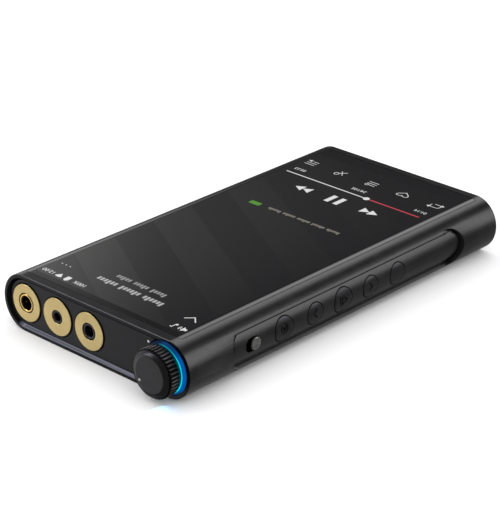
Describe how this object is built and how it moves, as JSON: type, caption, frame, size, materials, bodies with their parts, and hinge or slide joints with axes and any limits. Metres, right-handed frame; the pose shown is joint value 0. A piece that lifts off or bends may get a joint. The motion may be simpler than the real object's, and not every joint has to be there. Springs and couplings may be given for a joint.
{
  "type": "digital audio player",
  "caption": "Pocket digital audio player: rounded metal body, glass touch screen, jacks and a lit ribbed volume knob on one end, buttons in a side recess.",
  "frame": {"origin": "centre of the flat back face, on the surface the player lies on", "axes": "+Y along the length towards the USB end (the jacks and knob are at -Y), +X towards the button side, +Z out through the screen"},
  "size_m": [0.08, 0.1524, 0.0189],
  "materials": {
    "anodised_black": "fine satin black anodising",
    "screen_glass": "polished cover glass over a lit screen, edges curved down",
    "display": "display module",
    "black_plastic": "moulded",
    "panel_black": "smooth blue-black end panel",
    "rear_glass": "smooth black back panel",
    "gold": "gold-plated, spun face",
    "knob_metal": "black anodised, ribbed side and polished bevel",
    "light_guide": "lit blue light guide, emissive",
    "led_lens": "small pale indicator lens",
    "polished_steel": "bright turned metal",
    "steel": "plain",
    "brass": "turned",
    "circuit_board": "solder mask",
    "magnesium": "cast frame",
    "battery_wrap": "foil pouch and wrap"
  },
  "bodies": {
    "chassis": {"main_housing": "anodised_black", "front_glass": "screen_glass", "display_panel": "display", "display_frame": "black_plastic", "mid_frame": "magnesium", "rear_cover": "rear_glass", "jack_end_plate": "panel_black", "status_led": "led_lens", "bezel_balanced_4_4": "gold", "bezel_balanced_2_5": "gold", "bezel_headphone_3_5": "gold", "sleeve_balanced_4_4": "gold", "jack_balanced_4_4": "black_plastic", "jack_balanced_2_5": "black_plastic", "jack_headphone_3_5": "black_plastic", "encoder": "steel", "encoder_nut": "steel", "light_ring": "light_guide", "light_ring_board": "circuit_board", "power_switch": "steel", "previous_switch": "steel", "play_switch": "steel", "next_switch": "steel", "function_switch": "steel", "button_board": "circuit_board", "hold_switch": "steel", "usb_end_plate": "panel_black", "usb_socket": "steel", "end_screw_1": "steel", "end_screw_2": "steel", "card_socket": "steel", "main_board": "circuit_board", "processor_shield": "steel", "dac_shield": "steel", "amplifier_shield": "steel", "standoff_1": "brass", "standoff_2": "brass", "standoff_3": "brass", "standoff_4": "brass", "board_screw_1": "steel", "board_screw_2": "steel", "board_screw_3": "steel", "board_screw_4": "steel", "battery": "battery_wrap", "battery_board": "circuit_board"},
    "knob": {"volume_knob": "knob_metal", "knob_cap": "knob_metal", "knob_shaft": "steel"},
    "power_button": {"power_button": "anodised_black"},
    "previous_button": {"previous_button": "anodised_black"},
    "play_button": {"play_button": "anodised_black"},
    "next_button": {"next_button": "anodised_black"},
    "function_button": {"function_button": "anodised_black"},
    "hold_slider": {"hold_slider": "polished_steel"},
    "card_tray": {"card_tray": "anodised_black"}
  },
  "joints": [
    {"name": "volume_turn", "type": "hinge", "parent": "chassis", "child": "knob", "pos_m": [0.03, -0.0746, 0.00945], "axis": [0, -1, 0], "continuous": true},
    {"name": "power_press", "type": "slide", "parent": "chassis", "child": "power_button", "axis": [-1, 0, 0], "range_m": [0, 0.00035], "stiffness_N_per_m": 3000, "springref_m": -0.0002},
    {"name": "previous_press", "type": "slide", "parent": "chassis", "child": "previous_button", "axis": [-1, 0, 0], "range_m": [0, 0.00035], "stiffness_N_per_m": 3000, "springref_m": -0.0002},
    {"name": "play_press", "type": "slide", "parent": "chassis", "child": "play_button", "axis": [-1, 0, 0], "range_m": [0, 0.00035], "stiffness_N_per_m": 3000, "springref_m": -0.0002},
    {"name": "next_press", "type": "slide", "parent": "chassis", "child": "next_button", "axis": [-1, 0, 0], "range_m": [0, 0.00035], "stiffness_N_per_m": 3000, "springref_m": -0.0002},
    {"name": "function_press", "type": "slide", "parent": "chassis", "child": "function_button", "axis": [-1, 0, 0], "range_m": [0, 0.00035], "stiffness_N_per_m": 3000, "springref_m": -0.0002},
    {"name": "hold_slide", "type": "slide", "parent": "chassis", "child": "hold_slider", "axis": [0, -1, 0], "range_m": [0, 0.0019]},
    {"name": "card_tray_slide", "type": "slide", "parent": "chassis", "child": "card_tray", "axis": [0, 1, 0], "range_m": [0, 0.018]}
  ]
}
